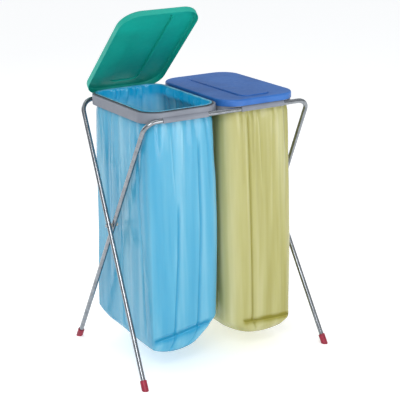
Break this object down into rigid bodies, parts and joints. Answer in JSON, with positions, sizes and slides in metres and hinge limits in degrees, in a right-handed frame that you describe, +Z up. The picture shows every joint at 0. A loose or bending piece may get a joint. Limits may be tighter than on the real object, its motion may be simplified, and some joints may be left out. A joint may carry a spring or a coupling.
{
  "type": "recycling bin station",
  "caption": "Folding crossed-leg tube stand with twin lidded rings that hold open film sacks for sorted recycling.",
  "frame": {"origin": "on the floor, in the middle of the four feet", "axes": "+X right along the top bars, +Y from the front bar to the hinged rear bar, +Z up"},
  "size_m": [0.7596, 0.5824, 1.215],
  "materials": {
    "plated_tube": "bright zinc-plated steel tube",
    "steel_rivet": "bright zinc-plated steel",
    "nylon": "moulded nylon",
    "red_ferrule": "moulded soft PVC",
    "grey_plastic": "moulded polypropylene",
    "dark_plastic": "moulded polypropylene",
    "green_plastic": "moulded polypropylene",
    "blue_plastic": "moulded polypropylene",
    "blue_film": "translucent polyethylene film",
    "yellow_film": "translucent polyethylene film"
  },
  "bodies": {
    "front_bar_legs": {"front_bar_frame": "plated_tube", "rear_left_foot": "red_ferrule", "rear_right_foot": "red_ferrule", "left_pivot_rivet": "steel_rivet", "left_pivot_spacer": "nylon", "left_pivot_cap": "nylon", "right_pivot_rivet": "steel_rivet", "right_pivot_spacer": "nylon", "right_pivot_cap": "nylon"},
    "rear_bar_legs": {"rear_bar_frame": "plated_tube", "front_left_foot": "red_ferrule", "front_right_foot": "red_ferrule"},
    "left_ring_unit": {"left_bag_ring": "grey_plastic", "left_bag_hoop": "dark_plastic", "left_sack": "blue_film", "left_lid_hinge_pins": "steel_rivet"},
    "right_ring_unit": {"right_bag_ring": "grey_plastic", "right_bag_hoop": "dark_plastic", "right_sack": "yellow_film", "right_lid_hinge_pins": "steel_rivet"},
    "left_lid_body": {"left_lid": "green_plastic"},
    "right_lid_body": {"right_lid": "blue_plastic"}
  },
  "joints": [
    {"name": "frame_fold", "type": "hinge", "parent": "front_bar_legs", "child": "rear_bar_legs", "pos_m": [0, 0, 0.49124], "axis": [1, 0, 0], "range_deg": [0, 54], "deforming": ["left_sack", "right_sack"]},
    {"name": "left_ring_tilt", "type": "hinge", "parent": "rear_bar_legs", "child": "left_ring_unit", "pos_m": [0, 0.22, 0.88], "axis": [1, 0, 0], "range_deg": [-119, 0]},
    {"name": "right_ring_tilt", "type": "hinge", "parent": "rear_bar_legs", "child": "right_ring_unit", "pos_m": [0, 0.22, 0.88], "axis": [1, 0, 0], "range_deg": [-119, 0]},
    {"name": "left_lid_hinge", "type": "hinge", "parent": "left_ring_unit", "child": "left_lid_body", "pos_m": [0, 0.236, 0.893], "axis": [-1, 0, 0], "range_deg": [-42, 63]},
    {"name": "right_lid_hinge", "type": "hinge", "parent": "right_ring_unit", "child": "right_lid_body", "pos_m": [0, 0.236, 0.893], "axis": [-1, 0, 0], "range_deg": [0, 105]}
  ],
  "couplings": [
    {"joint": "left_ring_tilt", "follows": "frame_fold", "ratio": -2.2},
    {"joint": "right_ring_tilt", "follows": "frame_fold", "ratio": -2.2}
  ]
}
